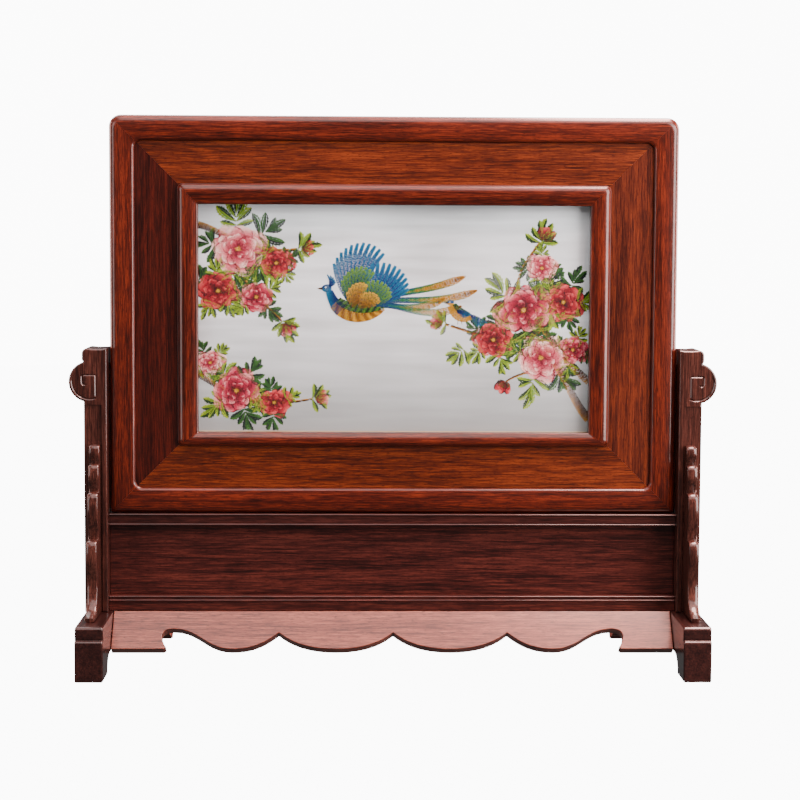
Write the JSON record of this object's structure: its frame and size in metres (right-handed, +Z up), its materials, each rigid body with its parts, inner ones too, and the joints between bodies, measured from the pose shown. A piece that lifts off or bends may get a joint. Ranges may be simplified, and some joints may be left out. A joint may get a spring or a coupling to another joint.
{
  "type": "embroidered table screen",
  "caption": "Low standing table screen: a mitred wooden leaf holding a silk embroidery between panes lifts out of a stand with scroll-headed posts, stepped wings and scalloped sloping aprons.",
  "frame": {"origin": "centre of the footprint, on the table under the feet", "axes": "+X along the screen's width, -Y is the front, +Z up"},
  "size_m": [0.6448, 0.19, 0.548],
  "materials": {
    "leaf_wood": "polished oil and wax",
    "stand_wood": "polished oil and wax",
    "slip_wood": "plain",
    "silk": "sheer",
    "pane_glass": "polished"
  },
  "bodies": {
    "stand": {"left_foot": "stand_wood", "right_foot": "stand_wood", "left_post": "stand_wood", "right_post": "stand_wood", "front_left_wing": "stand_wood", "front_right_wing": "stand_wood", "rear_left_wing": "stand_wood", "rear_right_wing": "stand_wood", "upper_rail": "stand_wood", "lower_rail": "stand_wood", "waist_panel": "stand_wood", "front_apron": "stand_wood", "rear_apron": "stand_wood"},
    "leaf": {"leaf_top_rail": "leaf_wood", "leaf_bottom_rail": "leaf_wood", "leaf_left_stile": "leaf_wood", "leaf_right_stile": "leaf_wood", "field_board_top": "leaf_wood", "field_board_bottom": "leaf_wood", "field_board_left": "leaf_wood", "field_board_right": "leaf_wood", "front_bead_top": "leaf_wood", "front_bead_bottom": "leaf_wood", "front_bead_left": "leaf_wood", "front_bead_right": "leaf_wood", "rear_bead_top": "leaf_wood", "rear_bead_bottom": "leaf_wood", "rear_bead_left": "leaf_wood", "rear_bead_right": "leaf_wood", "embroidered_silk": "silk", "front_slip_top": "slip_wood", "front_slip_bottom": "slip_wood", "front_slip_left": "slip_wood", "front_slip_right": "slip_wood", "rear_slip_top": "slip_wood", "rear_slip_bottom": "slip_wood", "rear_slip_left": "slip_wood", "rear_slip_right": "slip_wood", "front_pane": "pane_glass", "rear_pane": "pane_glass"}
  },
  "joints": [
    {"name": "leaf_lift", "type": "slide", "parent": "stand", "child": "leaf", "axis": [0, 0, 1], "range_m": [0, 0.165]}
  ]
}
